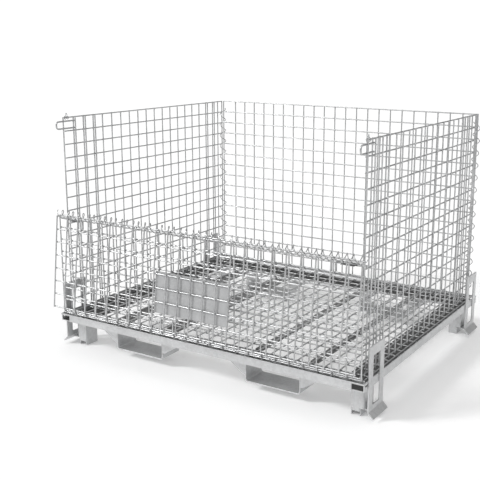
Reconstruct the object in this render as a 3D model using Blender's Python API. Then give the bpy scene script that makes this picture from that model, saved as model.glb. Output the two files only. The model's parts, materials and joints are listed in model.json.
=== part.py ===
"""Collapsible wire mesh container: a steel base on four feet with two fork pockets at the front and two at
the back, mesh side, back and lower front panels, and a half-height drop gate that hangs outside the front.

Metres, +Z up, ground at z = 0, the gate side faces -Y. Lengths inside the design are measured from the
middle of the base; the root empty then moves the whole container so that the middle of its bounding box
stands on the world origin.
"""

import bmesh
import bpy
from math import cos, pi, radians, sin
from mathutils import Vector

GAP = 0.0003

# Base frame
HALF_W = 0.616            # outer faces of the side rails
HALF_D = 0.515            # outer faces of the front and rear rails
RAIL_TOP = 0.131
RAIL_BOTTOM = 0.104
STEEL = 0.003             # rail and foot sheet
FLANGE = 0.100            # how far a rail's lower flange reaches inwards
CORNER_CUT = 0.041        # length of the window at each end of a front or rear rail's web
CUT_TOP = 0.126
SLOT_NEAR, SLOT_FAR = 0.468, 0.505         # slots near the ends of the side rails
SLOT_BOTTOM, SLOT_TOP = 0.116, 0.123
JOIST_W, JOIST_WALL = 0.030, 0.003
FLOOR_Z = 0.125           # middle of the floor mesh
FLOOR_HALF_W, FLOOR_FRONT, FLOOR_BACK = 0.606, -0.486, 0.481
FLOOR_BARS_X, FLOOR_BARS_Y = 10, 8         # cells of the floor's grille

# Fork pockets, one strap and two gussets each
POCKET_IN, POCKET_OUT = 0.172, 0.380
POCKET_Y, POCKET_DEPTH = 0.478, 0.096
POCKET_FLOOR = 0.027
POCKET_SHEET = 0.004
POCKET_BEND = 0.012
GUSSET_LENGTH, GUSSET_FOOT = 0.081, 0.052
GUSSET_END = 0.004        # depth of a gusset at its thin end

# Feet
FOOT_IN, FOOT_OUT = 0.549, 0.597
FOOT_Y, FOOT_DEPTH = 0.461, 0.060
FOOT_RADIUS = 0.014
NOTCH_W, NOTCH_H = 0.015, 0.025
FRONT_WEB_LIFT = 0.014

# Stacking guide plates on the side rails
GUIDE_FRONT, GUIDE_BACK = 0.487, 0.382
GUIDE_TOP, GUIDE_FOLD = 0.238, 0.032
GUIDE_SHEET = 0.004
GUIDE_BAR = 0.027
WINDOW_BOTTOM, WINDOW_TOP = 0.046, 0.206
LIP_REACH, LIP_DROP = 0.019, 0.022

# Mesh panels: one layer of square bars, and the cells of each grille across, deep and high
BAR = 0.006
ACROSS, DEEP, HIGH, HALF_HIGH = 10, 8, 6, 3
WALL_X = 0.586
WALL_FRONT = -0.481
WALL_BACK = 0.4845        # the joint axis of each side wall runs down its last bar
BACK_Y = 0.499
WALL_BOTTOM, WALL_TOP = 0.1345, 0.847
PANEL_Y = -0.503
PANEL_X = 0.603
PANEL_BOTTOM, PANEL_TOP = 0.141, 0.500

# Drop gate, hung from the lower front panel's top wire by a spiral
GATE_AXIS_Y, GATE_AXIS_Z = -0.509, 0.5055
GATE_OFFSET = 0.006       # from the axis to the gate's plane
GATE_START, GATE_END = 0.008, 0.337
GATE_SPLAY = 6.6          # degrees from hanging straight down
LABEL_HALF_W = 0.150
LABEL_FROM, LABEL_TO = 0.140, 0.281
LABEL_SHEET = 0.0015

# Joining spirals: radius of the coil's centre line round the two wires that it joins
SPIRAL_WIRE = 0.0016
SPIRAL_SIDES = 10         # points to a turn
ANCHOR_GAP = 0.0004       # between a panel's lowest wire and its anchor wire
CORNER_COIL, BASE_COIL, GATE_COIL = 0.014, 0.009, 0.017

# Fittings
LOOP_REACH, LOOP_LOW, LOOP_HIGH = 0.038, 0.806, 0.838
LOOP_WIRE = 0.003
LOOP_BEND = 0.010
CLIP_Y = -0.470
CLIP_INNER, CLIP_OUTER, CLIP_HALF_WIDTH = 0.0046, 0.0064, 0.0015
EYE_TOP, EYE_HALF_FOOT, EYE_HALF_HOLE = 0.019, 0.007, 0.004
EYE_TIP = 0.001           # half width of the eye's point
EYE_ROOT = 0.0012         # how far the eye runs into the ring
EYE_RIM = 0.003
BOLT_Y, BOLT_Z, BOLT_RADIUS = -0.4955, 0.487, 0.004
BOLT_TIP, BOLT_TAIL = 0.608, 0.500
SLEEVE_FROM, SLEEVE_TO = 0.520, 0.566
SLEEVE_OUTER, SLEEVE_INNER = 0.007, 0.005  # half heights of the strap and of the way through it
HANDLE_LENGTH, HANDLE_FROM_TAIL, HANDLE_THIN = 0.030, 0.008, 0.7
ROUND_SIDES = 10

LEFT_RIGHT = (("left", -1), ("right", 1))
FRONT_REAR = (("front", -1), ("rear", 1))


def clear_scene():
    for obj in list(bpy.data.objects):
        bpy.data.objects.remove(obj, do_unlink=True)


def steel(name, colour, roughness, metallic=1.0):
    material = bpy.data.materials.new(name)
    material.use_nodes = True
    shader = material.node_tree.nodes["Principled BSDF"]
    shader.inputs["Base Color"].default_value = (*colour, 1)
    shader.inputs["Roughness"].default_value = roughness
    shader.inputs["Metallic"].default_value = metallic
    return material


def empty(name, location, parent=None):
    obj = bpy.data.objects.new(name, None)
    obj.location = location
    obj.parent = parent
    bpy.context.scene.collection.objects.link(obj)
    return obj


def add(name, data, parent, material, location=(0, 0, 0)):
    obj = bpy.data.objects.new(name, data)
    obj.location = location
    obj.parent = parent
    if material:
        data.materials.append(material)
    bpy.context.scene.collection.objects.link(obj)
    return obj


def finish_mesh(name, bm):
    bmesh.ops.recalc_face_normals(bm, faces=bm.faces)
    mesh = bpy.data.meshes.new(name)
    bm.to_mesh(mesh)
    bm.free()
    return mesh


def box_mesh(name, xs, ys, zs):
    """A box between two values on each axis, in either order."""
    bm = bmesh.new()
    bmesh.ops.create_cube(bm, size=1)
    low = Vector(min(pair) for pair in (xs, ys, zs))
    high = Vector(max(pair) for pair in (xs, ys, zs))
    for vert in bm.verts:
        vert.co = [low[i] + (vert.co[i] + 0.5) * (high[i] - low[i]) for i in range(3)]
    return finish_mesh(name, bm)


def box(name, xs, ys, zs, parent, material):
    return add(name, box_mesh(name, xs, ys, zs), parent, material)


def prism(name, outline, start, end, place, parent, material):
    """A flat outline of (u, v) points drawn out along w; place turns u, v, w into x, y, z."""
    bm = bmesh.new()
    face = bm.faces.new([bm.verts.new(place(u, v, start)) for u, v in outline])
    drawn = bmesh.ops.extrude_face_region(bm, geom=[face])["geom"]
    step = Vector(place(0, 0, end)) - Vector(place(0, 0, start))
    bmesh.ops.translate(bm, vec=step, verts=[v for v in drawn if isinstance(v, bmesh.types.BMVert)])
    return add(name, finish_mesh(name, bm), parent, material)


def combine(obj, other, operation):
    """Cuts other out of obj, or makes it part of obj; other itself stays hidden."""
    other.hide_render = True
    other.display_type = "WIRE"
    modifier = obj.modifiers.new(other.name, "BOOLEAN")
    modifier.object = other
    modifier.operation = operation
    modifier.solver = "EXACT"


def cut(obj, name, xs, ys, zs, parent):
    """Cuts a box out of obj."""
    combine(obj, box(name, xs, ys, zs, parent, None), "DIFFERENCE")


def evenly(start, end, count):
    return [start + (end - start) * i / count for i in range(count + 1)]


def grille(name, us, vs, place, parent, material):
    """One flat layer of crossing square bars centred on the us and vs."""
    half = BAR / 2
    u_edges = [edge for u in us for edge in (u - half, u + half)]
    v_edges = [edge for v in vs for edge in (v - half, v + half)]
    bm = bmesh.new()
    sheets = [[[bm.verts.new(place(u, v, w)) for v in v_edges] for u in u_edges]
              for w in (-half, half)]
    below, above = sheets

    def solid(i, j):
        inside = 0 <= i < len(u_edges) - 1 and 0 <= j < len(v_edges) - 1
        return inside and (i % 2 == 0 or j % 2 == 0)

    for i in range(len(u_edges)):
        for j in range(len(v_edges)):
            if solid(i, j):
                for sheet in sheets:
                    near, far = sheet[i], sheet[i + 1]
                    bm.faces.new((near[j], far[j], far[j + 1], near[j + 1]))
            if j < len(v_edges) - 1 and solid(i - 1, j) != solid(i, j):
                bm.faces.new((below[i][j], below[i][j + 1], above[i][j + 1], above[i][j]))
            if i < len(u_edges) - 1 and solid(i, j - 1) != solid(i, j):
                bm.faces.new((below[i][j], below[i + 1][j], above[i + 1][j], above[i][j]))
    return add(name, finish_mesh(name, bm), parent, material)


def wire(name, points, radius, parent, material, location=(0, 0, 0), resolution=0):
    curve = bpy.data.curves.new(name, "CURVE")
    curve.dimensions = "3D"
    curve.bevel_depth = radius
    curve.bevel_resolution = resolution
    curve.use_fill_caps = True
    spline = curve.splines.new("POLY")
    spline.points.add(len(points) - 1)
    for point, place in zip(spline.points, points):
        point.co = (*place, 1)
    return add(name, curve, parent, material, location)


def spiral(name, start, end, step, phase, radius, place, parent, material):
    """A joining spiral with one turn for each step along its axis, starting at angle phase."""
    count = round((end - start) / step * SPIRAL_SIDES)
    points = []
    for i in range(count + 1):
        along = start + (end - start) * i / count
        angle = phase + 2 * pi * (along - start) / step
        points.append(place(along, radius * cos(angle), radius * sin(angle)))
    return wire(name, points, SPIRAL_WIRE, parent, material)


def circle(radius):
    turns = [2 * pi * i / ROUND_SIDES for i in range(ROUND_SIDES)]
    return [(radius * sin(a), radius * cos(a)) for a in turns]


def arc(cu, cv, radius, start, end, steps):
    angles = evenly(radians(start), radians(end), steps)
    return [(cu + radius * cos(a), cv + radius * sin(a)) for a in angles]


def base_frame(root, zinc):
    inner = HALF_W - FLANGE
    for word, sy in FRONT_REAR:
        web = [(-HALF_W, RAIL_TOP), (-HALF_W, CUT_TOP), (CORNER_CUT - HALF_W, CUT_TOP),
               (CORNER_CUT - HALF_W, RAIL_BOTTOM), (HALF_W - CORNER_CUT, RAIL_BOTTOM),
               (HALF_W - CORNER_CUT, CUT_TOP), (HALF_W, CUT_TOP), (HALF_W, RAIL_TOP)]
        rail = prism(f"{word}_rail", web, sy * HALF_D, sy * (HALF_D - STEEL),
                     lambda u, v, w: (u, w, v), root, zinc)
        flange = box(f"{word}_rail_flange", (GAP - inner, inner - GAP),
                     (sy * (HALF_D - STEEL / 2), sy * (HALF_D - FLANGE)),
                     (RAIL_BOTTOM, RAIL_BOTTOM + STEEL), root, None)
        combine(rail, flange, "UNION")
    for word, sx in LEFT_RIGHT:
        end = HALF_D - STEEL - GAP
        section = [(HALF_W, RAIL_TOP), (HALF_W, RAIL_BOTTOM), (inner, RAIL_BOTTOM),
                   (inner, RAIL_BOTTOM + STEEL), (HALF_W - STEEL, RAIL_BOTTOM + STEEL),
                   (HALF_W - STEEL, RAIL_TOP)]
        rail = prism(f"{word}_rail", section, -end, end,
                     lambda u, v, w, s=sx: (s * u, w, v), root, zinc)
        for place, sy in FRONT_REAR:
            cut(rail, f"cut_{word}_{place}_slot", (sx * (HALF_W - 2 * STEEL), sx * (HALF_W + STEEL)),
                (sy * SLOT_NEAR, sy * SLOT_FAR), (SLOT_BOTTOM, SLOT_TOP), root)


def floor(root, zinc, mesh_zinc):
    end = HALF_D - FLANGE - GAP
    top = FLOOR_Z - BAR / 2 - GAP
    section = [(0, RAIL_BOTTOM), (JOIST_WALL, RAIL_BOTTOM), (JOIST_WALL, top - JOIST_WALL),
               (JOIST_W, top - JOIST_WALL), (JOIST_W, top), (0, top)]
    for word, sx in LEFT_RIGHT:
        for where, x in (("inner", POCKET_IN), ("outer", POCKET_OUT)):
            prism(f"{word}_{where}_joist", section, -end, end,
                  lambda u, v, w, s=sx, x=x: (s * (x + u), w, v), root, zinc)
    grille("floor_mesh", evenly(-FLOOR_HALF_W, FLOOR_HALF_W, FLOOR_BARS_X),
           evenly(FLOOR_FRONT, FLOOR_BACK, FLOOR_BARS_Y),
           lambda u, v, w: (u, v, FLOOR_Z + w), root, mesh_zinc)


def fork_pocket(word, sx, place, sy, root, zinc):
    top = RAIL_BOTTOM - GAP
    bend, sheet = POCKET_BEND, POCKET_SHEET
    outer = [(POCKET_IN, top), *arc(POCKET_IN + bend, POCKET_FLOOR + bend, bend, 180, 270, 3),
             *arc(POCKET_OUT - bend, POCKET_FLOOR + bend, bend, 270, 360, 3), (POCKET_OUT, top)]
    inner = [(POCKET_OUT - sheet, top),
             *arc(POCKET_OUT - bend, POCKET_FLOOR + bend, bend - sheet, 360, 270, 3),
             *arc(POCKET_IN + bend, POCKET_FLOOR + bend, bend - sheet, 270, 180, 3),
             (POCKET_IN + sheet, top)]
    prism(f"{place}_{word}_fork_pocket", outer + inner, sy * POCKET_Y, sy * (POCKET_Y - POCKET_DEPTH),
          lambda u, v, w: (sx * u, w, v), root, zinc)
    for side, x, out in (("inner", POCKET_IN - GAP, -1), ("outer", POCKET_OUT + GAP, 1)):
        end = x + out * GUSSET_LENGTH
        web = [(x, top), (end, top), (end, top - GUSSET_END), (x, GUSSET_FOOT)]
        prism(f"{place}_{word}_{side}_gusset", web, sy * POCKET_Y, sy * (POCKET_Y - POCKET_SHEET),
              lambda u, v, w: (sx * u, w, v), root, zinc)


def foot(word, sx, place, sy, root, zinc):
    """A pressed foot, open below, with a step along its outer edge for the container underneath."""
    top = RAIL_BOTTOM - GAP
    back = FOOT_Y - FOOT_DEPTH
    outline = [(FOOT_IN, FOOT_Y), (FOOT_IN, back), (FOOT_OUT, back),
               *arc(FOOT_OUT - FOOT_RADIUS, FOOT_Y - FOOT_RADIUS, FOOT_RADIUS, 0, 90, 4)]
    body = prism(f"{place}_{word}_foot", outline, 0, top,
                 lambda u, v, w: (sx * u, sy * v, w), root, zinc)
    name = f"cut_{place}_{word}"
    step = FOOT_OUT - NOTCH_W
    inside = (sx * (FOOT_IN + STEEL), sx * (step - STEEL))
    cut(body, f"{name}_notch", (sx * step, sx * (FOOT_OUT + STEEL)),
        (sy * (back - STEEL), sy * (FOOT_Y + STEEL)), (-STEEL, NOTCH_H), root)
    cut(body, f"{name}_hollow", inside, (sy * (back + STEEL), sy * (FOOT_Y - STEEL)),
        (-STEEL, top - STEEL), root)
    cut(body, f"{name}_web", inside, (sy * (FOOT_Y - 2 * STEEL), sy * (FOOT_Y + STEEL)),
        (-STEEL, FRONT_WEB_LIFT), root)


def guide_plate(word, sx, place, sy, root, zinc):
    """A slotted plate on the side rail, folded out below to guide a container onto another."""
    x = HALF_W + GAP
    t = GUIDE_SHEET
    tip = GUIDE_FOLD - LIP_DROP
    square_end = t * sin(pi / 4)
    section = [(x, GUIDE_TOP), (x, GUIDE_FOLD), (x + LIP_REACH, tip),
               (x + LIP_REACH + square_end, tip + square_end), (x + t, GUIDE_FOLD + t / 2),
               (x + t, GUIDE_TOP)]
    plate = prism(f"{place}_{word}_guide_plate", section, sy * GUIDE_FRONT, sy * GUIDE_BACK,
                  lambda u, v, w: (sx * u, w, v), root, zinc)
    cut(plate, f"cut_{place}_{word}_window", (sx * (x - t), sx * (x + 2 * t)),
        (sy * (GUIDE_FRONT - GUIDE_BAR), sy * (GUIDE_BACK + GUIDE_BAR)),
        (WINDOW_BOTTOM, WINDOW_TOP), root)
    box(f"{place}_{word}_guide_shelf", (sx * (FOOT_OUT + GAP), sx * HALF_W),
        (sy * FOOT_Y, sy * (FOOT_Y - FOOT_DEPTH)), (NOTCH_H, NOTCH_H + STEEL), root, zinc)


def anchor_spiral(word, y, bottom, xs, root, wire_zinc):
    """The spiral that ties a panel's lowest wire to the anchor wire under it."""
    middle = bottom - BAR / 2 - ANCHOR_GAP / 2
    end = HALF_W - STEEL - GAP
    low = bottom - BAR / 2 - ANCHOR_GAP
    box(f"{word}_anchor_wire", (-end, end), (y - BAR / 2, y + BAR / 2), (low - BAR, low),
        root, wire_zinc)
    spiral(f"{word}_base_spiral", xs[0], xs[-1], xs[1] - xs[0], -pi / 2, BASE_COIL,
           lambda a, u, v: (a, y + u, middle + v), root, wire_zinc)


def back_wall(root, mesh_zinc, wire_zinc):
    xs = evenly(-WALL_X, WALL_X, ACROSS)
    zs = evenly(WALL_BOTTOM, WALL_TOP, HIGH)
    grille("back_wall", xs, zs, lambda u, v, w: (u, BACK_Y + w, v), root, mesh_zinc)
    anchor_spiral("rear", BACK_Y, WALL_BOTTOM, xs, root, wire_zinc)
    pitch = zs[1] - zs[0]
    middle = (WALL_BACK + BACK_Y) / 2
    for word, sx in LEFT_RIGHT:
        phase = pi + pi * (2 - sx) / 4
        spiral(f"{word}_corner_spiral", WALL_BOTTOM + pitch / 2, WALL_TOP - pitch / 4, pitch, phase,
               CORNER_COIL, lambda a, u, v, s=sx: (s * WALL_X + u, middle + v, a), root, wire_zinc)


def front_panel(root, mesh_zinc, wire_zinc):
    xs = evenly(-PANEL_X, PANEL_X, ACROSS)
    grille("lower_front_panel", xs, evenly(PANEL_BOTTOM, PANEL_TOP, HALF_HIGH),
           lambda u, v, w: (u, PANEL_Y + w, v), root, mesh_zinc)
    anchor_spiral("front", PANEL_Y, PANEL_BOTTOM, xs, root, wire_zinc)
    spiral("gate_spiral", xs[0], xs[-1], xs[1] - xs[0], 0, GATE_COIL,
           lambda a, u, v: (a, GATE_AXIS_Y + u, GATE_AXIS_Z + v), root, wire_zinc)


def gate(root, mesh_zinc, label_zinc):
    """Drawn closed, standing up from its axis, and then turned down to where it hangs open."""
    pivot = empty("gate_pivot", (0, GATE_AXIS_Y, GATE_AXIS_Z), root)
    pivot.rotation_euler.x = radians(180 - GATE_SPLAY)
    grille("drop_gate", evenly(-PANEL_X, PANEL_X, ACROSS), evenly(GATE_START, GATE_END, HALF_HIGH),
           lambda u, v, w: (u, GATE_OFFSET + w, v), pivot, mesh_zinc)
    face = GATE_OFFSET - BAR / 2 - GAP
    box("label_plate", (-LABEL_HALF_W, LABEL_HALF_W), (face - LABEL_SHEET, face),
        (LABEL_FROM, LABEL_TO), pivot, label_zinc)


def side_wall(word, sx, root, mesh_zinc, wire_zinc):
    pivot = empty(f"{word}_wall_pivot", (sx * WALL_X, WALL_BACK, 0), root)
    front = WALL_FRONT - WALL_BACK
    grille(f"{word}_wall", evenly(front, 0, DEEP), evenly(WALL_BOTTOM, WALL_TOP, HIGH),
           lambda u, v, w: (w, u, v), pivot, mesh_zinc)
    r = LOOP_WIRE
    root_y, tip, bend = front - BAR / 2 - GAP, front - LOOP_REACH, LOOP_BEND
    low, high = LOOP_LOW + r, LOOP_HIGH - r
    path = [(root_y, high), *arc(tip + bend, high - bend, bend, 90, 180, 3),
            *arc(tip + bend, low + bend, bend, 180, 270, 3), (root_y, low)]
    wire(f"{word}_lock_loop", [(0, u, v) for u, v in path], r, pivot, wire_zinc, resolution=1)
    clip(word, sx, pivot, wire_zinc)


def clip(word, sx, parent, wire_zinc):
    """A clip on the side wall's top bar: a ring round the bar with a pointed eye on it."""
    place_on_wall = (0, CLIP_Y - WALL_BACK, WALL_TOP)
    half = CLIP_HALF_WIDTH
    bm = bmesh.new()
    rings = [[bm.verts.new((u, y, v)) for u, v in circle(radius)]
             for radius, y in ((CLIP_INNER, -half), (CLIP_OUTER, -half),
                               (CLIP_OUTER, half), (CLIP_INNER, half))]
    for a, b in zip(rings, rings[1:] + rings[:1]):
        for i in range(ROUND_SIDES):
            j = (i + 1) % ROUND_SIDES
            bm.faces.new((a[i], a[j], b[j], b[i]))
    name = f"{word}_gate_clip"
    body = add(name, finish_mesh(name, bm), parent, wire_zinc, place_on_wall)
    low = CLIP_OUTER - EYE_ROOT
    outline = [(-EYE_HALF_FOOT, low), (EYE_HALF_FOOT, low), (EYE_TIP, EYE_TOP), (-EYE_TIP, EYE_TOP)]
    eye = prism(f"join_{word}_clip_eye", outline, -half, half,
                lambda u, v, w: (sx * w, u, v), parent, None)
    eye.location = place_on_wall
    combine(body, eye, "UNION")
    hole = [(-EYE_HALF_HOLE, low + EYE_RIM), (EYE_HALF_HOLE, low + EYE_RIM), (0, EYE_TOP - EYE_RIM)]
    cutter = prism(f"cut_{word}_clip_eye", hole, -3 * half, 3 * half,
                   lambda u, v, w: (sx * w, u, v), parent, None)
    cutter.location = place_on_wall
    combine(body, cutter, "DIFFERENCE")


def slide_bolt(word, sx, root, zinc, wire_zinc):
    """A rod with a turned-down handle, sliding in a strap on the lower front panel."""
    rod = prism(f"{word}_bolt", circle(BOLT_RADIUS), sx * BOLT_TAIL, sx * BOLT_TIP,
                lambda u, v, w: (w, u, v), root, wire_zinc)
    rod.location = (0, BOLT_Y, BOLT_Z)
    grip = [(u + HANDLE_FROM_TAIL, v) for u, v in circle(BOLT_RADIUS * HANDLE_THIN)]
    handle = prism(f"join_{word}_bolt_handle", grip, 0, -HANDLE_LENGTH,
                   lambda u, v, w: (sx * (BOLT_TAIL + u), v, w), root, None)
    handle.location = (0, BOLT_Y, BOLT_Z)
    combine(rod, handle, "UNION")
    back = PANEL_Y + BAR / 2 + GAP
    strap = box(f"{word}_bolt_strap", (sx * SLEEVE_FROM, sx * SLEEVE_TO), (back, BOLT_Y + SLEEVE_OUTER),
                (BOLT_Z - SLEEVE_OUTER, BOLT_Z + SLEEVE_OUTER), root, zinc)
    cut(strap, f"cut_{word}_bolt_way", (sx * (SLEEVE_FROM - STEEL), sx * (SLEEVE_TO + STEEL)),
        (back - STEEL, BOLT_Y + SLEEVE_INNER), (BOLT_Z - SLEEVE_INNER, BOLT_Z + SLEEVE_INNER), root)


def build():
    clear_scene()
    zinc = steel("zinc_sheet", (0.70, 0.71, 0.72), 0.42)
    mesh_zinc = steel("zinc_mesh", (0.62, 0.63, 0.64), 0.38)
    wire_zinc = steel("zinc_wire", (0.60, 0.61, 0.62), 0.36)
    label_zinc = steel("label_sheet", (0.74, 0.75, 0.76), 0.50)
    hang = radians(GATE_SPLAY)
    reach = GATE_OFFSET * cos(hang) + GATE_END * sin(hang) + BAR / 2 * (cos(hang) + sin(hang))
    front = GATE_AXIS_Y - reach
    root = empty("container", (0, -(front + HALF_D) / 2, 0))
    base_frame(root, zinc)
    floor(root, zinc, mesh_zinc)
    back_wall(root, mesh_zinc, wire_zinc)
    front_panel(root, mesh_zinc, wire_zinc)
    gate(root, mesh_zinc, label_zinc)
    for word, sx in LEFT_RIGHT:
        side_wall(word, sx, root, mesh_zinc, wire_zinc)
        slide_bolt(word, sx, root, zinc, wire_zinc)
        for place, sy in FRONT_REAR:
            fork_pocket(word, sx, place, sy, root, zinc)
            foot(word, sx, place, sy, root, zinc)
            guide_plate(word, sx, place, sy, root, zinc)


build()
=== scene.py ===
import json
import math
import random

import bmesh
import bpy
from mathutils import Matrix, Quaternion, Vector


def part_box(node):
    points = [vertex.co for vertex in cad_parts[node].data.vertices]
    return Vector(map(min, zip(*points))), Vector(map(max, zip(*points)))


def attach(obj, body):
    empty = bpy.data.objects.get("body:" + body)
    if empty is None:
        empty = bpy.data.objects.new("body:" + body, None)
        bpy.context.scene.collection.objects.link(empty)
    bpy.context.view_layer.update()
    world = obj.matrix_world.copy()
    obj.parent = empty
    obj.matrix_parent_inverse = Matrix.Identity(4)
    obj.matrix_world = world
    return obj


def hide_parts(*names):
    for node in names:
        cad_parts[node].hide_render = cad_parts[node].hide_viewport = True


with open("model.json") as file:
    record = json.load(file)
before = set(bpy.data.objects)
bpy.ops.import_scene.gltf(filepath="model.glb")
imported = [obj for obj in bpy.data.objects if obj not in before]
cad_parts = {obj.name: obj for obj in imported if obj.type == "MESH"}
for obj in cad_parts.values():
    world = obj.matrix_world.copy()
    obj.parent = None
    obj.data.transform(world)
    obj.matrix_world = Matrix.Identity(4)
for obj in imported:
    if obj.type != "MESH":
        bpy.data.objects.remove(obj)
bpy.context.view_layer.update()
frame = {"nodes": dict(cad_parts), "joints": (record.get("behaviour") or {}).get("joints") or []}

JOINTS = {joint["name"]: joint for joint in frame["joints"]}
RANDOM = random.Random(11)
TURN = 2 * math.pi

# Welded mesh
WIRE = 0.0025             # radius of a mesh wire
LAY = 0.0049              # between the centre lines of two wires that are welded across each other
CELL = 0.050
ROW = 0.0475
GATE_ROW = 0.0470
SPIRAL_WIRE = 0.0017      # wire of the corner coils
ROUND = 10                # sides of a wire

MOST_LEAN, MOST_TRIM = 0.0005, 0.0006         # how unevenly the wires lie and are cut
WIRE_REACH = 0.002        # the floor's wires stop this far from the rails' webs
FLOOR_HALF_X = 0.609      # half the length of its crosswise wires
FLOOR_WIRES_X = 0.600     # its outermost lengthwise wires

# Joining spirals: radius of the coil, and of its wire
GATE_COIL, GATE_COIL_WIRE = 0.0146, 0.0015
GATE_COIL_END = 0.004               # beyond the outermost uprights
GATE_COIL_TURNS = (-27, 127)        # degrees at each upright; neither wire meets one as the gate turns
CORNER_COIL, CORNER_COIL_TURN = 0.0128, 45
FRONT_COIL, REAR_COIL, BASE_COIL_WIRE = 0.0080, 0.0069, 0.0011
REAR_COIL_BACK = 0.0014             # behind the wall's rows, clear of the folded side walls
BASE_COIL_TURNS, BASE_COIL_PHASE = 10, 0.6

# Sheet steel
SHEET = 0.003
PLATE = 0.004
EDGE = 0.0007             # rounding along a sheet's cut edges
SLIM_EDGE = 0.0003

# Wire fittings
LOOP_WIRE, LOOP_BEND = 0.0029, 0.011
CLIP_WIRE, CLIP_RING = 0.0014, 0.0050
CLIP_TOP = 0.0016         # the peak's centre line, below the top of the CAD clip
CLIP_PEAK_BEND = 0.0022
CLIP_SHOULDER = (0.0005, 0.0052, 0.0085)      # from the clip's axis
CLIP_FOOT = (0.0015, 0.0058, 0.0062)
CLIP_HOOPS = (-0.0056, 0.0050)                # along the axis
CLIP_HOOP_LEAD = 0.0008                       # how far a hoop's end stands beside its start
ROD, ROD_BEND, ROD_HANDLE = 0.0032, 0.007, 0.0055
COLLAR, COLLAR_FROM, COLLAR_TO = 0.0045, 0.567, 0.576
STRAP_SHEET, STRAP_BEND = 0.0016, 0.003

# Feet, fork pockets and guide plates, as in the CAD
FOOT_STEP, FOOT_NOTCH, FOOT_RADIUS, FOOT_WEB = 0.015, 0.025, 0.014, 0.014
LAP = 0.001               # how far one part of a pressed sheet runs into the next
POCKET_BEND = 0.012
RIB_REACH, RIB_END, RIB_LOW, RIB_TOE = 0.081, 0.005, 0.052, 0.054
GUIDE_BAR, GUIDE_FOLD, GUIDE_CORNER = 0.027, 0.034, 0.006
GUIDE_TIP = 0.002
SLOT_ABOVE_FOLD, SLOT_BELOW_TOP = 0.012, 0.032
LIP_BEND, LIP_EDGE = 0.006, 0.0015

# Label plate, in the gate's own plane
LABEL_HALF_W, LABEL_LOW, LABEL_HIGH = 0.150, 0.140, 0.281
LABEL_SHEET, LABEL_GAP, LABEL_BOW = 0.0012, 0.0004, 0.0008

# Camera
CAMERA_AT = (1.5832, -2.5875, 1.1241)
CAMERA_AZIMUTH, CAMERA_ELEVATION, CAMERA_ROLL = 0.5464, 0.2237, 0.0056
FOCAL, CENTRE_X, CENTRE_Y = 833.97, 276.0, 228.0       # in pixels of the square image
IMAGE = 480
SENSOR = 36


# ---------------------------------------------------------------- materials

def node(tree, kind, **inputs):
    made = tree.nodes.new(kind)
    for name, value in inputs.items():
        made.inputs[name.replace("_", " ")].default_value = value
    return made


def ramp(tree, factor, stops):
    made = tree.nodes.new("ShaderNodeValToRGB")
    points = made.color_ramp.elements
    while len(points) < len(stops):
        points.new(0.5)
    for point, (place, value) in zip(points, stops):
        point.position = place
        point.color = (*value, 1) if isinstance(value, tuple) else (value, value, value, 1)
    tree.links.new(factor, made.inputs["Fac"])
    return made.outputs["Color"]


def mix(tree, kind, factor, a, b):
    made = tree.nodes.new("ShaderNodeMix")
    made.data_type = "RGBA"
    made.blend_type = kind
    for socket, value in ((made.inputs[0], factor), (made.inputs[6], a), (made.inputs[7], b)):
        if hasattr(value, "is_output"):
            tree.links.new(value, socket)
        else:
            socket.default_value = value
    return made.outputs[2]


def painted_floor_shade(tree, colour):
    """Painted shade: darkens the upward-facing flange tops low under the mesh floor, where shade falls."""
    surface = tree.nodes.new("ShaderNodeNewGeometry")
    facing = tree.nodes.new("ShaderNodeSeparateXYZ")
    place = tree.nodes.new("ShaderNodeSeparateXYZ")
    tree.links.new(surface.outputs["Normal"], facing.inputs[0])
    tree.links.new(surface.outputs["Position"], place.inputs[0])
    flat = ramp(tree, facing.outputs["Z"], ((0.5, 0.0), (0.8, 1.0)))
    low = ramp(tree, place.outputs["Z"], ((0.098, 0.0), (0.102, 1.0), (0.109, 1.0), (0.113, 0.0)))
    in_shade = mix(tree, "MULTIPLY", 1.0, flat, low)
    # near-black painted shade, mixed in where the upward-facing, low mask is high
    return mix(tree, "MIX", in_shade, colour, (0.085, 0.085, 0.083, 1))


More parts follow.
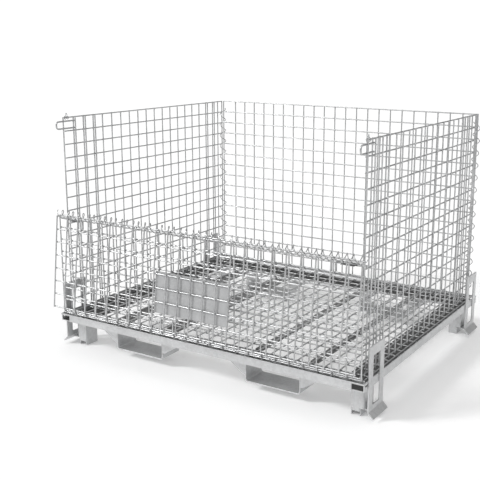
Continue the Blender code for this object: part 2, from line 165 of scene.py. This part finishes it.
def zinc(name, dark, light, rough, metallic, grain, dust=0.25, stretch=(1, 1, 1), shade_below=False):
    """Zinc plating: cloudy tone, fine crystal spangle, dull handling marks and faint drawing lines, and, if
    asked, painted shade on flange tops under the mesh floor.
    """
    material = bpy.data.materials.new(name)
    material.use_nodes = True
    tree = material.node_tree
    shader = tree.nodes["Principled BSDF"]
    place = tree.nodes.new("ShaderNodeTexCoord").outputs["Object"]
    lines = tree.nodes.new("ShaderNodeMapping")
    lines.inputs["Scale"].default_value = stretch
    tree.links.new(place, lines.inputs["Vector"])

    cloud = node(tree, "ShaderNodeTexNoise", Scale=9.0, Detail=5.0, Roughness=0.6)
    spangle = node(tree, "ShaderNodeTexVoronoi", Scale=grain)
    fine = node(tree, "ShaderNodeTexNoise", Scale=620.0, Detail=3.0, Roughness=0.65)
    marks = node(tree, "ShaderNodeTexNoise", Scale=38.0, Detail=6.0, Roughness=0.72)
    for texture in (cloud, spangle, marks):
        tree.links.new(place, texture.inputs["Vector"])
    tree.links.new(lines.outputs[0], fine.inputs["Vector"])

    tone = ramp(tree, cloud.outputs["Fac"], ((0.34, dark), (0.66, light)))
    flakes = ramp(tree, spangle.outputs["Color"], ((0.0, 0.86), (1.0, 1.08)))
    toned = mix(tree, "MULTIPLY", 0.55, tone, flakes)
    dull = ramp(tree, marks.outputs["Fac"], ((0.50, 0.0), (0.68, 1.0)))
    worn = mix(tree, "MULTIPLY", 1.0, dull, (dust, dust, dust, 1))
    colour = mix(tree, "MIX", worn, toned, (0.30, 0.295, 0.28, 1))
    # painted shade on the flange tops under the mesh floor
    if shade_below:
        colour = painted_floor_shade(tree, colour)
    tree.links.new(colour, shader.inputs["Base Color"])

    gloss = ramp(tree, marks.outputs["Fac"], ((0.30, rough - 0.08), (0.72, rough + 0.16)))
    tree.links.new(gloss, shader.inputs["Roughness"])
    shader.inputs["Metallic"].default_value = metallic

    bump = node(tree, "ShaderNodeBump", Strength=0.22, Distance=0.0003)
    heights = mix(tree, "MIX", 0.5, fine.outputs["Fac"], marks.outputs["Fac"])
    tree.links.new(heights, bump.inputs["Height"])
    tree.links.new(bump.outputs["Normal"], shader.inputs["Normal"])
    return material


MESH_ZINC = zinc("mesh_zinc", (0.50, 0.505, 0.51), (0.63, 0.635, 0.64), 0.34, 0.9, 260.0)
WIRE_ZINC = zinc("wire_zinc", (0.46, 0.465, 0.47), (0.58, 0.585, 0.59), 0.32, 0.9, 260.0)
# Painted shade: a dark zinc for the joists, standing in for the shade under the mesh floor.
JOIST_SHADE_ZINC = zinc("grimy_zinc", (0.14, 0.14, 0.14), (0.26, 0.26, 0.26), 0.55, 0.5, 200.0)
# sheet finish, with painted shade on its flange tops under the mesh floor
SHEET_ZINC = zinc("sheet_zinc", (0.60, 0.605, 0.61), (0.66, 0.665, 0.67), 0.42, 0.7, 150.0, 0.12,
                  shade_below=True)
PLATE_ZINC = zinc("label_zinc", (0.47, 0.475, 0.48), (0.52, 0.525, 0.53), 0.5, 0.4, 90.0, 0.08,
                  (1, 1, 14))
DARK_STEEL = zinc("dark_steel", (0.10, 0.10, 0.105), (0.19, 0.19, 0.195), 0.45, 0.8, 200.0)


# ---------------------------------------------------------------- shapes

def mesh_piece(name, bm, material, body, replaces=(), bevel=0.0):
    bmesh.ops.recalc_face_normals(bm, faces=bm.faces)
    data = bpy.data.meshes.new(name)
    bm.to_mesh(data)
    bm.free()
    data.materials.append(material)
    piece = bpy.data.objects.new(name, data)
    bpy.context.scene.collection.objects.link(piece)
    if bevel:
        modifier = piece.modifiers.new("rounded_edges", "BEVEL")
        modifier.width = bevel
        modifier.segments = 2
        modifier.limit_method = "ANGLE"
        modifier.angle_limit = math.radians(40)
    data.shade_smooth()
    data.set_sharp_from_angle(angle=math.radians(42))
    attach(piece, body)
    if replaces:
        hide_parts(*replaces)
    return piece


def sweep(bm, path, radius, sides=ROUND, chamfer=0.0006):
    """A round wire along path, with its two cut ends slightly chamfered."""
    path = [Vector(point) for point in path]
    first = (path[1] - path[0]).normalized()
    last = (path[-1] - path[-2]).normalized()
    stations = [(path[0], radius - chamfer), (path[0] + first * chamfer, radius)]
    stations += [(point, radius) for point in path[1:-1]]
    stations += [(path[-1] - last * chamfer, radius), (path[-1], radius - chamfer)]
    side = first.orthogonal().normalized()
    previous = first
    rings = []
    for i, (point, r) in enumerate(stations):
        before = stations[max(i - 1, 0)][0]
        after = stations[min(i + 1, len(stations) - 1)][0]
        along = (after - before).normalized()
        side = previous.rotation_difference(along) @ side
        previous = along
        rings.append([bm.verts.new(point + r * (Quaternion(along, TURN * k / sides) @ side))
                      for k in range(sides)])
    for a, b in zip(rings, rings[1:]):
        for k in range(sides):
            bm.faces.new((a[k], a[(k + 1) % sides], b[(k + 1) % sides], b[k]))
    bm.faces.new(rings[0][::-1])
    bm.faces.new(rings[-1])


def rounded(corners, radius, steps=5):
    """The path through corners with each inner corner turned into an arc."""
    corners = [Vector(corner) for corner in corners]
    path = [corners[0]]
    for before, corner, after in zip(corners, corners[1:], corners[2:]):
        a = (before - corner).normalized()
        b = (after - corner).normalized()
        most = 0.49 * min((before - corner).length, (after - corner).length)
        reach = min(radius / math.tan(a.angle(b) / 2), most)
        start, end = corner + a * reach, corner + b * reach
        for i in range(steps + 1):
            t = i / steps
            path.append(start * (1 - t) ** 2 + corner * 2 * t * (1 - t) + end * t * t)
    path.append(corners[-1])
    return path


def wire_piece(name, path, radius, material, body, replaces=()):
    bm = bmesh.new()
    sweep(bm, path, radius, sides=12)
    return mesh_piece(name, bm, material, body, replaces)


def helix(bm, start, end, pitch, phase, radius, place, wire=SPIRAL_WIRE):
    """A joining spiral. phase is its angle where the axis value is 0.
    place turns (along, u, v) into x, y, z."""
    per_turn = 20
    count = math.ceil((end - start) / pitch * per_turn)
    path = []
    for i in range(count + 1):
        along = start + (end - start) * i / count
        angle = phase + TURN * along / pitch
        path.append(place(along, radius * math.cos(angle), radius * math.sin(angle)))
    sweep(bm, path, wire, sides=8, chamfer=0.0003)


def extrude(bm, outline, start, end, place):
    """A closed outline of (u, v) points drawn out along w."""
    ends = [[bm.verts.new(place(u, v, w)) for u, v in outline] for w in (start, end)]
    count = len(outline)
    for i in range(count):
        j = (i + 1) % count
        bm.faces.new((ends[0][i], ends[0][j], ends[1][j], ends[1][i]))
    bm.faces.new(ends[0][::-1])
    bm.faces.new(ends[1])


def arc(cu, cv, radius, start, end, steps=8):
    angles = [math.radians(start + (end - start) * i / steps) for i in range(steps + 1)]
    return [(cu + radius * math.cos(a), cv + radius * math.sin(a)) for a in angles]


def folded(centre_line, thickness):
    """The outline of a sheet bent along centre_line."""
    points = [Vector(p) for p in centre_line]
    sides = ([], [])
    for i, point in enumerate(points):
        before, after = points[max(i - 1, 0)], points[min(i + 1, len(points) - 1)]
        along = (after - before).normalized()
        across = Vector((-along.y, along.x))
        half = thickness / 2
        if 0 < i < len(points) - 1:
            half /= max(0.5, math.cos((points[i] - before).angle(after - points[i]) / 2))
        sides[0].append(tuple(point + across * half))
        sides[1].append(tuple(point - across * half))
    return sides[0] + sides[1][::-1]


def steps(start, end, pitch):
    count = round((end - start) / pitch)
    return [start + (end - start) * i / count for i in range(count + 1)]


def welded(name, uprights, rows, layers, place, body, replaces):
    """A panel of welded wire. uprights are (u, layer) pairs and run along v; rows are v values and
    run along u. layers gives each layer's distance from the rows' own plane."""
    bm = bmesh.new()
    low_v, high_v = min(rows) - WIRE, max(rows) + WIRE
    low_u = min(u for u, _ in uprights) - WIRE
    high_u = max(u for u, _ in uprights) + WIRE
    for u, layer in uprights:
        lean = RANDOM.uniform(-MOST_LEAN, MOST_LEAN)
        trim = RANDOM.uniform(0, MOST_TRIM)
        w = layers[layer]
        sweep(bm, (place(u - lean, low_v + trim, w), place(u + lean, high_v - trim, w)), WIRE)
    for v in rows:
        lean = RANDOM.uniform(-MOST_LEAN, MOST_LEAN)
        trim = RANDOM.uniform(0, MOST_TRIM)
        sweep(bm, (place(low_u + trim, v - lean, 0), place(high_u - trim, v + lean, 0)), WIRE)
    return mesh_piece(name, bm, MESH_ZINC, body, replaces)


# ---------------------------------------------------------------- where the CAD has things

def middle(name):
    low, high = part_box(name)
    return (low + high) / 2


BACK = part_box("back_wall")
BACK_Y = middle("back_wall").y
WALL_X = middle("right_wall").x
WALL_LOW, WALL_HIGH = BACK[0].z + WIRE, BACK[1].z - WIRE
WALL_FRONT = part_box("right_wall")[0].y + WIRE
HINGE_Y = JOINTS["right_wall_swing"]["pos_m"][1]
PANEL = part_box("lower_front_panel")
PANEL_Y = middle("lower_front_panel").y
PANEL_X = PANEL[1].x - WIRE
PANEL_LOW, PANEL_HIGH = PANEL[0].z + WIRE, PANEL[1].z - WIRE
PANEL_XS = steps(-PANEL_X, PANEL_X, CELL)
DOUBLED = (1, 2, 3, 17, 18)         # a side wall's uprights that have a second wire inside the wall
FLOOR_LOW, FLOOR_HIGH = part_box("floor_mesh")
FLOOR_Z = middle("floor_mesh").z
RAIL_FRONT, RAIL_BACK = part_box("front_rail")[0].y + SHEET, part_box("rear_rail")[1].y - SHEET
HINGE = Vector(JOINTS["gate_hinge"]["pos_m"])
HANG = math.radians(JOINTS["gate_hinge"]["range_deg"][1])
GATE_OFFSET = 0.006       # from the hinge axis to the plane of the gate's rows
GATE_FIRST, GATE_LAST = 0.008, 0.337
SIDES = (("left", -1), ("right", 1))
ENDS = (("front", -1), ("rear", 1))


def on_gate(u, v, w):
    """A point of the gate, drawn closed above its hinge axis, where it is as the gate hangs."""
    w += GATE_OFFSET
    y = HINGE.y + w * math.cos(HANG) - v * math.sin(HANG)
    return (u, y, HINGE.z + w * math.sin(HANG) + v * math.cos(HANG))


# ---------------------------------------------------------------- mesh panels

def cage():
    rows = steps(WALL_LOW, WALL_HIGH, ROW)
    inner = [CELL * (k - 10.5) for k in range(22)]
    uprights = [(-WALL_X, 0)] + [(x, 1) for x in inner] + [(WALL_X, 0)]
    welded("back_wall_mesh", uprights, rows, (0, LAY),
           lambda u, v, w: (u, BACK_Y + w, v), "base", ["back_wall"])
    for word, side in SIDES:
        ys = [WALL_FRONT + CELL * k for k in (*range(19), 18.8)]
        uprights = [(y, 1) for y in ys] + [(HINGE_Y, 0)]
        uprights += [(ys[k], 2) for k in DOUBLED]
        welded(f"{word}_wall_mesh", uprights, rows, (0, LAY, -LAY),
               lambda u, v, w, s=side: (s * (WALL_X + w), u, v), f"{word}_wall", [f"{word}_wall"])


def floor_mesh():
    bm = bmesh.new()
    upper, lower = FLOOR_Z + LAY / 2, FLOOR_Z - LAY / 2
    for x in steps(-FLOOR_WIRES_X, FLOOR_WIRES_X, CELL):
        sweep(bm, [(x, RAIL_FRONT + WIRE_REACH, upper), (x, RAIL_BACK - WIRE_REACH, upper)], WIRE)
    for y in steps(FLOOR_LOW.y + WIRE, FLOOR_HIGH.y - WIRE, CELL):
        sweep(bm, [(-FLOOR_HALF_X, y, lower), (FLOOR_HALF_X, y, lower)], WIRE)
    mesh_piece("floor_grid", bm, MESH_ZINC, "base", ["floor_mesh"])


def front_panels():
    uprights = [(x, 1) for x in PANEL_XS]
    welded("lower_panel_mesh", uprights, steps(PANEL_LOW, PANEL_HIGH, ROW), (0, -LAY),
           lambda u, v, w: (u, PANEL_Y + w, v), "base", ["lower_front_panel"])
    welded("gate_mesh", uprights, steps(GATE_FIRST, GATE_LAST, GATE_ROW), (0, LAY),
           on_gate, "gate", ["drop_gate"])


# ---------------------------------------------------------------- joining spirals and anchor wires

def gate_spiral():
    """Two wires wound together, one turn to each cell, round the gate's and the panel's end wires."""
    pitch = PANEL_XS[1] - PANEL_XS[0]
    start, end = PANEL_XS[0], PANEL_XS[-1]
    bm = bmesh.new()
    for turned in GATE_COIL_TURNS:
        phase = math.radians(turned) - TURN * start / pitch
        helix(bm, start - GATE_COIL_END, end + GATE_COIL_END, pitch, phase, GATE_COIL,
              lambda a, u, v: (a, HINGE.y + u, HINGE.z + v), GATE_COIL_WIRE)
    mesh_piece("gate_hinge_spiral", bm, WIRE_ZINC, "base", ["gate_spiral"])


def base_spiral(word, y, row, reach, coil):
    """The wire along the base that a panel is tied to, and the spiral that ties it."""
    anchor = middle(f"{word}_anchor_wire")
    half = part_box(f"{word}_anchor_wire")[1].x
    wire_piece(f"{word}_anchor_rod", [(-half, anchor.y, anchor.z), (half, anchor.y, anchor.z)], WIRE,
               MESH_ZINC, "base", [f"{word}_anchor_wire"])
    z = (row + anchor.z) / 2
    bm = bmesh.new()
    helix(bm, -reach, reach, 2 * reach / BASE_COIL_TURNS, BASE_COIL_PHASE, coil,
          lambda a, u, v: (a, y + u, z + v), BASE_COIL_WIRE)
    mesh_piece(f"{word}_base_coil", bm, WIRE_ZINC, "base", [f"{word}_base_spiral"])


def corner_spirals():
    axis_y = (HINGE_Y + BACK_Y) / 2
    phase = math.radians(CORNER_COIL_TURN) - TURN * WALL_LOW / ROW
    for word, side in SIDES:
        bm = bmesh.new()
        helix(bm, WALL_LOW + ROW * 0.5, WALL_HIGH - ROW * 0.6, ROW, phase, CORNER_COIL,
              lambda a, u, v, s=side: (s * (WALL_X + u), axis_y + v, a))
        mesh_piece(f"{word}_corner_coil", bm, WIRE_ZINC, "base", [f"{word}_corner_spiral"])


# ---------------------------------------------------------------- fittings

def lock_loop(word, side):
    low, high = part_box(f"{word}_lock_loop")
    x = side * WALL_X
    y0, y1 = WALL_FRONT + CELL, low.y + LOOP_WIRE
    z0, z1 = low.z + LOOP_WIRE, high.z - LOOP_WIRE
    path = rounded([(x, y0, z1), (x, y1, z1), (x, y1, z0), (x, y0, z0)], LOOP_BEND)
    wire_piece(f"{word}_lock_bow", path, LOOP_WIRE, WIRE_ZINC, f"{word}_wall",
               [f"{word}_lock_loop"])


def clip(word):
    """A peaked wire standing on two hoops round the side wall's top wire."""
    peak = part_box(f"{word}_gate_clip")[1].z - CLIP_TOP
    axis = Vector(JOINTS[f"{word}_clip_turn"]["pos_m"])

    def beside(offset, sign):
        dx, dy, dz = offset
        return (axis.x - sign * dx, axis.y + sign * dy, axis.z + dz)

    bend = rounded([beside(CLIP_SHOULDER, -1), (axis.x, axis.y, peak), beside(CLIP_SHOULDER, 1)],
                   CLIP_PEAK_BEND)
    bm = bmesh.new()
    sweep(bm, [beside(CLIP_FOOT, -1), *bend, beside(CLIP_FOOT, 1)], CLIP_WIRE, chamfer=0.0003)
    count = 18
    for along in CLIP_HOOPS:
        hoop = []
        for i in range(count + 1):
            angle = TURN * i / count
            y = axis.y + along + CLIP_HOOP_LEAD * i / count
            hoop.append((axis.x + CLIP_RING * math.sin(angle), y, axis.z + CLIP_RING * math.cos(angle)))
        sweep(bm, hoop, CLIP_WIRE, chamfer=0.0003)
    mesh_piece(f"{word}_clip_wire", bm, WIRE_ZINC, f"{word}_clip", [f"{word}_gate_clip"])


def bolt(word, side):
    body = f"{word}_bolt"
    low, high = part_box(f"{word}_bolt")
    start = Vector(JOINTS[f"{word}_bolt_slide"]["pos_m"])
    tail, tip = (low.x, high.x) if side > 0 else (high.x, low.x)
    tail += side * ROD_HANDLE
    path = rounded([(tip, start.y, start.z), (tail, start.y, start.z), (tail, start.y, low.z)], ROD_BEND)
    wire_piece(f"{word}_bolt_rod", path, ROD, WIRE_ZINC, body, [body])
    collar = [(side * x, start.y, start.z) for x in (COLLAR_FROM, COLLAR_TO)]
    wire_piece(f"{word}_bolt_collar", collar, COLLAR, DARK_STEEL, body)

    low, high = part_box(f"{word}_bolt_strap")
    back = high.y - STRAP_SHEET / 2
    z0, z1 = low.z + STRAP_SHEET / 2, high.z - STRAP_SHEET / 2
    line = [(low.y, z0), *arc(back - STRAP_BEND, z0 + STRAP_BEND, STRAP_BEND, -90, 0, 4),
            *arc(back - STRAP_BEND, z1 - STRAP_BEND, STRAP_BEND, 0, 90, 4), (low.y, z1)]
    bm = bmesh.new()
    extrude(bm, folded(line, STRAP_SHEET), low.x, high.x, lambda u, v, w: (w, u, v))
    mesh_piece(f"{word}_bolt_housing", bm, SHEET_ZINC, "base", [f"{word}_bolt_strap"],
               bevel=SLIM_EDGE)


# ---------------------------------------------------------------- base

def reach_of(low, high, end):
    """A box's x from the middle plane, inner and outer, then its y at the container's end and inside it."""
    x0, x1 = sorted((abs(low.x), abs(high.x)))
    front, back = (high.y, low.y) if end > 0 else (low.y, high.y)
    return x0, x1, front, back


def foot(word, side, place, end):
    low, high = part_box(f"{place}_{word}_foot")
    x0, x1, front, back = reach_of(low, high, end)
    step, t, half = x1 - FOOT_STEP, SHEET, SHEET / 2
    depth = abs(front - back)

    def at(u, v, w):
        return (side * u, front - end * v, w)

    def block(u0, u1, v0, v1, w0, w1):
        extrude(bm, [(u0, v0), (u1, v0), (u1, v1), (u0, v1)], w0, w1, at)

    # Seen from above, the sheet runs round the inner side, the front and the outer side. v is the depth
    # behind the front face, which is the rear face of a rear foot.
    bm = bmesh.new()
    path = [(x0 + half, depth - half), (x0 + half, half),
            *arc(x1 - FOOT_RADIUS, FOOT_RADIUS, FOOT_RADIUS - half, -90, 0, 8), (x1 - half, depth - half)]
    extrude(bm, folded(path, t), FOOT_NOTCH, high.z, at)
    for x, v0, v1 in ((x0 + half, depth - half, half), (step - half, half, depth - half)):
        extrude(bm, folded([(x, v0), (x, v1)], t), 0.0, FOOT_NOTCH + LAP, at)
    block(x0, step, depth - t, depth, 0.0, FOOT_NOTCH + LAP)
    block(x0, x1, depth - t, depth, FOOT_NOTCH, high.z)
    block(x0 + t, step - t, 0, t, FOOT_WEB, FOOT_NOTCH + LAP)
    block(step - t, x1 - t, 0, depth, FOOT_NOTCH, FOOT_NOTCH + t)
    mesh_piece(f"{place}_{word}_pressed_foot", bm, SHEET_ZINC, "base",
               [f"{place}_{word}_foot"], bevel=EDGE)


def fork_pocket(word, side, place, end):
    name = f"{place}_{word}"
    low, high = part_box(f"{name}_fork_pocket")
    x0, x1, front, back = reach_of(low, high, end)
    bottom, top = low.z, high.z
    bend, half = POCKET_BEND, PLATE / 2
    line = [(x0 + half, top), *arc(x0 + bend, bottom + bend, bend - half, 180, 270),
            *arc(x1 - bend, bottom + bend, bend - half, 270, 360), (x1 - half, top)]
    bm = bmesh.new()
    extrude(bm, folded(line, PLATE), front, back, lambda u, v, w: (side * u, w, v))
    mesh_piece(f"{name}_fork_strap", bm, SHEET_ZINC, "base", [f"{name}_fork_pocket"],
               bevel=EDGE)
    for which, x, out in (("inner", x0, -1), ("outer", x1, 1)):
        far = x + out * RIB_REACH
        web = [(x, top), (far, top), (far, top - RIB_END), (x + out * 0.010, RIB_TOE),
               (x + out * 0.002, RIB_LOW), (x, RIB_LOW)]
        bm = bmesh.new()
        extrude(bm, web, front - end * 0.0002, front - end * PLATE, lambda u, v, w: (side * u, w, v))
        mesh_piece(f"{name}_{which}_rib", bm, SHEET_ZINC, "base",
                   [f"{name}_{which}_gusset"], bevel=EDGE)


def rounded_loop(a, b, c, d, radius):
    """A rounded rectangle from y a to b and z c to d."""
    sign = 1 if b > a else -1
    centre = b - sign * radius
    corner = [(centre + (y - centre) * sign, z) for y, z in arc(centre, d - radius, radius, 0, 90, 3)]
    left = [(a + b - y, z) for y, z in corner[::-1]]
    lower = [(y, c + d - z) for y, z in left[::-1]]
    return corner + left + lower + [(y, c + d - z) for y, z in corner[::-1]]


def slotted(bm, outer, inner, near, far, side):
    """One closed plate with a slot. Its outer and inner loops have the same number of points."""
    faces = []
    for w in (near, far):
        faces.append([[bm.verts.new((side * w, y, z)) for y, z in loop] for loop in (outer, inner)])
    count = len(outer)
    for i in range(count):
        j = (i + 1) % count
        for edge, hole in faces:
            bm.faces.new((edge[i], edge[j], hole[j], hole[i]))
        for a, b in zip(*faces):
            bm.faces.new((a[i], a[j], b[j], b[i]))


def guide_plate(word, side, place, end):
    name = f"{place}_{word}"
    low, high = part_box(f"{name}_guide_plate")
    x0, x1, front, back = reach_of(low, high, end)
    outer = rounded_loop(front, back, GUIDE_FOLD, high.z, GUIDE_TIP)
    slot = rounded_loop(front - end * GUIDE_BAR, back + end * GUIDE_BAR, GUIDE_FOLD + SLOT_ABOVE_FOLD,
                        high.z - SLOT_BELOW_TOP, GUIDE_CORNER)
    bm = bmesh.new()
    slotted(bm, outer, slot, x0, x0 + PLATE, side)
    middle_x = x0 + PLATE / 2
    lip = [(middle_x, GUIDE_FOLD + LAP),
           *arc(middle_x + LIP_BEND, GUIDE_FOLD - LAP, LIP_BEND, 180, 225, 4),
           (x1 - LIP_EDGE, low.z + LIP_EDGE)]
    extrude(bm, folded(lip, PLATE), front, back, lambda u, v, w: (side * u, w, v))
    mesh_piece(f"{name}_stacking_guide", bm, SHEET_ZINC, "base", [f"{name}_guide_plate"],
               bevel=EDGE)


def plate_nodes():
    """The rails, shelves and joists keep their CAD shapes. The rails and shelves take the sheet finish,
    with painted shade on their flange tops under the floor; the joists take a dark zinc painted as shade.
    """
    plated = ["front_rail", "rear_rail", "left_rail", "right_rail"]
    plated += [f"{place}_{word}_guide_shelf" for place, _ in ENDS for word, _ in SIDES]
    joists = [f"{word}_{where}_joist" for word, _ in SIDES for where in ("inner", "outer")]
    for names, material in ((plated, SHEET_ZINC), (joists, JOIST_SHADE_ZINC)):
        for name in names:
            data = frame["nodes"][name].data
            data.materials.clear()
            data.materials.append(material)


def label_plate():
    """A thin plate close behind the gate's rows, very slightly bowed."""
    columns, lines = 24, 12
    near = -WIRE - LABEL_GAP
    bm = bmesh.new()
    sheets = []
    for w in (near, near - LABEL_SHEET):
        grid = []
        for i in range(columns + 1):
            u = -LABEL_HALF_W + 2 * LABEL_HALF_W * i / columns
            column = []
            for j in range(lines + 1):
                v = LABEL_LOW + (LABEL_HIGH - LABEL_LOW) * j / lines
                bow = LABEL_BOW * math.sin(math.pi * i / columns) * math.sin(math.pi * j / lines)
                column.append(bm.verts.new(on_gate(u, v, w - bow)))
            grid.append(column)
        sheets.append(grid)
    for grid in sheets:
        for i in range(columns):
            for j in range(lines):
                bm.faces.new((grid[i][j], grid[i + 1][j], grid[i + 1][j + 1], grid[i][j + 1]))
    edge = [(i, 0) for i in range(columns)] + [(columns, j) for j in range(lines)]
    edge += [(i, lines) for i in range(columns, 0, -1)] + [(0, j) for j in range(lines, 0, -1)]
    for (i, j), (k, m) in zip(edge, edge[1:] + edge[:1]):
        bm.faces.new((sheets[0][i][j], sheets[0][k][m], sheets[1][k][m], sheets[1][i][j]))
    mesh_piece("gate_label_plate", bm, PLATE_ZINC, "gate", ["label_plate"])


# ---------------------------------------------------------------- studio and camera

def sky():
    """A white background, and a softly graded tent round the object for the metal to reflect."""
    world = bpy.data.worlds.new("studio")
    world.use_nodes = True
    tree = world.node_tree
    tent = tree.nodes["Background"]
    white = tree.nodes.new("ShaderNodeBackground")
    white.inputs["Strength"].default_value = 1.4
    split = tree.nodes.new("ShaderNodeSeparateXYZ")
    tree.links.new(tree.nodes.new("ShaderNodeTexCoord").outputs["Generated"], split.inputs[0])
    shade = ramp(tree, split.outputs["Z"], ((0.0, 0.08), (0.20, 0.18), (0.55, 0.60), (1.0, 0.85)))
    tree.links.new(shade, tent.inputs["Color"])
    choice = tree.nodes.new("ShaderNodeMixShader")
    tree.links.new(tree.nodes.new("ShaderNodeLightPath").outputs["Is Camera Ray"], choice.inputs[0])
    tree.links.new(tent.outputs[0], choice.inputs[1])
    tree.links.new(white.outputs[0], choice.inputs[2])
    tree.links.new(choice.outputs[0], tree.nodes["World Output"].inputs["Surface"])
    return world


def studio_floor():
    bm = bmesh.new()
    bmesh.ops.create_grid(bm, x_segments=2, y_segments=2, size=14)
    data = bpy.data.meshes.new("studio_floor")
    bm.to_mesh(data)
    bm.free()
    paper = bpy.data.materials.new("paper")
    paper.use_nodes = True
    shader = paper.node_tree.nodes["Principled BSDF"]
    shader.inputs["Base Color"].default_value = (0.92, 0.92, 0.92, 1)
    shader.inputs["Roughness"].default_value = 0.9
    shader.inputs["Specular IOR Level"].default_value = 0.1
    shader.inputs["Emission Color"].default_value = (1, 1, 1, 1)
    shader.inputs["Emission Strength"].default_value = 0.16
    data.materials.append(paper)
    floor = bpy.data.objects.new("studio_floor", data)
    floor.location.z = -0.0005
    bpy.context.scene.collection.objects.link(floor)


def lights():
    bpy.context.scene.view_settings.view_transform = "Standard"
    bpy.context.scene.world = sky()
    for name, place, spread, power in (
            ("key", (-2.6, -2.4, 2.6), 12, 1.6),
            ("fill", (3.4, -2.2, 1.8), 34, 0.4)):
        light = bpy.data.lights.new(name, "SUN")
        light.angle = math.radians(spread)
        light.energy = power
        lamp = bpy.data.objects.new(name, light)
        lamp.location = place
        lamp.rotation_euler = (-Vector(place)).to_track_quat("-Z", "Y").to_euler()
        bpy.context.scene.collection.objects.link(lamp)


def camera():
    data = bpy.data.cameras.new("camera")
    data.sensor_width = SENSOR
    data.lens = FOCAL * SENSOR / IMAGE
    data.shift_x = (IMAGE / 2 - CENTRE_X) / IMAGE
    data.shift_y = (CENTRE_Y - IMAGE / 2) / IMAGE
    level = math.cos(CAMERA_ELEVATION)
    back = Vector((math.sin(CAMERA_AZIMUTH) * level, -math.cos(CAMERA_AZIMUTH) * level,
                   math.sin(CAMERA_ELEVATION)))
    flat_right = (-back).cross(Vector((0, 0, 1))).normalized()
    flat_up = flat_right.cross(-back)
    c, s = math.cos(CAMERA_ROLL), math.sin(CAMERA_ROLL)
    axes = Matrix((c * flat_right + s * flat_up, -s * flat_right + c * flat_up, back))
    view = bpy.data.objects.new("camera", data)
    view.matrix_world = Matrix.Translation(CAMERA_AT) @ axes.transposed().to_4x4()
    bpy.context.scene.collection.objects.link(view)
    bpy.context.scene.camera = view


# ---------------------------------------------------------------- making it all

cage()
floor_mesh()
front_panels()
gate_spiral()
base_spiral("front", PANEL_Y, PANEL_LOW, PANEL_X, FRONT_COIL)
base_spiral("rear", BACK_Y + REAR_COIL_BACK, WALL_LOW, WALL_X, REAR_COIL)
corner_spirals()
for word, side in SIDES:
    lock_loop(word, side)
    clip(word)
    bolt(word, side)
    for place, end in ENDS:
        foot(word, side, place, end)
        fork_pocket(word, side, place, end)
        guide_plate(word, side, place, end)
plate_nodes()
label_plate()
studio_floor()
lights()
camera()
